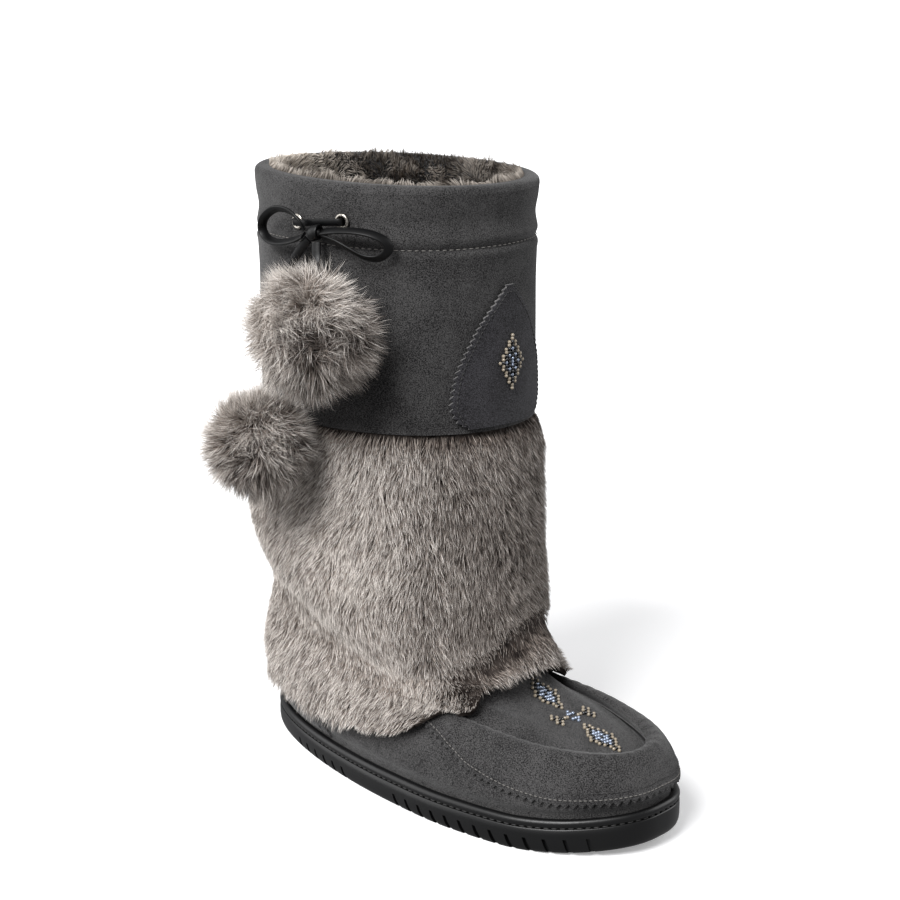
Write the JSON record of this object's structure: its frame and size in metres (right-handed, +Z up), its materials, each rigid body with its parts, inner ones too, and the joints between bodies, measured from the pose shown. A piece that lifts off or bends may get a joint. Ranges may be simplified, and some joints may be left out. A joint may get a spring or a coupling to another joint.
{
  "type": "mukluk boot",
  "caption": "Right mukluk boot: moccasin foot on a rubber sole, fur shaft, suede cuff with a drawstring bow and two fur pompoms.",
  "frame": {"origin": "on the floor under the shaft's axis, on the flat of the heel", "axes": "+Z up along the shaft, +X towards the toe, -Y the outer side of the foot"},
  "size_m": [0.2817, 0.1888, 0.3246],
  "materials": {
    "outsole": "matt black moulded rubber",
    "insole": "shearling over foam",
    "upper": "charcoal suede, fur lined",
    "apron": "charcoal suede",
    "heel_counter": "charcoal suede",
    "fur_shaft": "grey-brown rabbit fur",
    "cuff": "charcoal suede",
    "cuff_patch": "charcoal suede with beadwork",
    "eyelet_back": "plated metal",
    "eyelet_front": "plated metal",
    "lace_bar": "flat black leather lace",
    "lace_knot": "flat black leather lace",
    "lace_loop_back": "flat black leather lace",
    "lace_loop_front": "flat black leather lace",
    "lace_tail_front": "flat black leather lace",
    "lace_tail_back": "flat black leather lace",
    "pompom_front": "rabbit fur",
    "pompom_back": "rabbit fur"
  },
  "bodies": {
    "root": {"outsole": "outsole", "insole": "insole", "upper": "upper", "apron": "apron", "heel_counter": "heel_counter", "fur_shaft": "fur_shaft", "cuff": "cuff", "cuff_patch": "cuff_patch", "eyelet_back": "eyelet_back", "eyelet_front": "eyelet_front", "lace_bar": "lace_bar", "lace_knot": "lace_knot", "lace_loop_back": "lace_loop_back", "lace_loop_front": "lace_loop_front", "lace_tail_front": "lace_tail_front", "lace_tail_back": "lace_tail_back", "pompom_front": "pompom_front", "pompom_back": "pompom_back"}
  },
  "joints": []
}
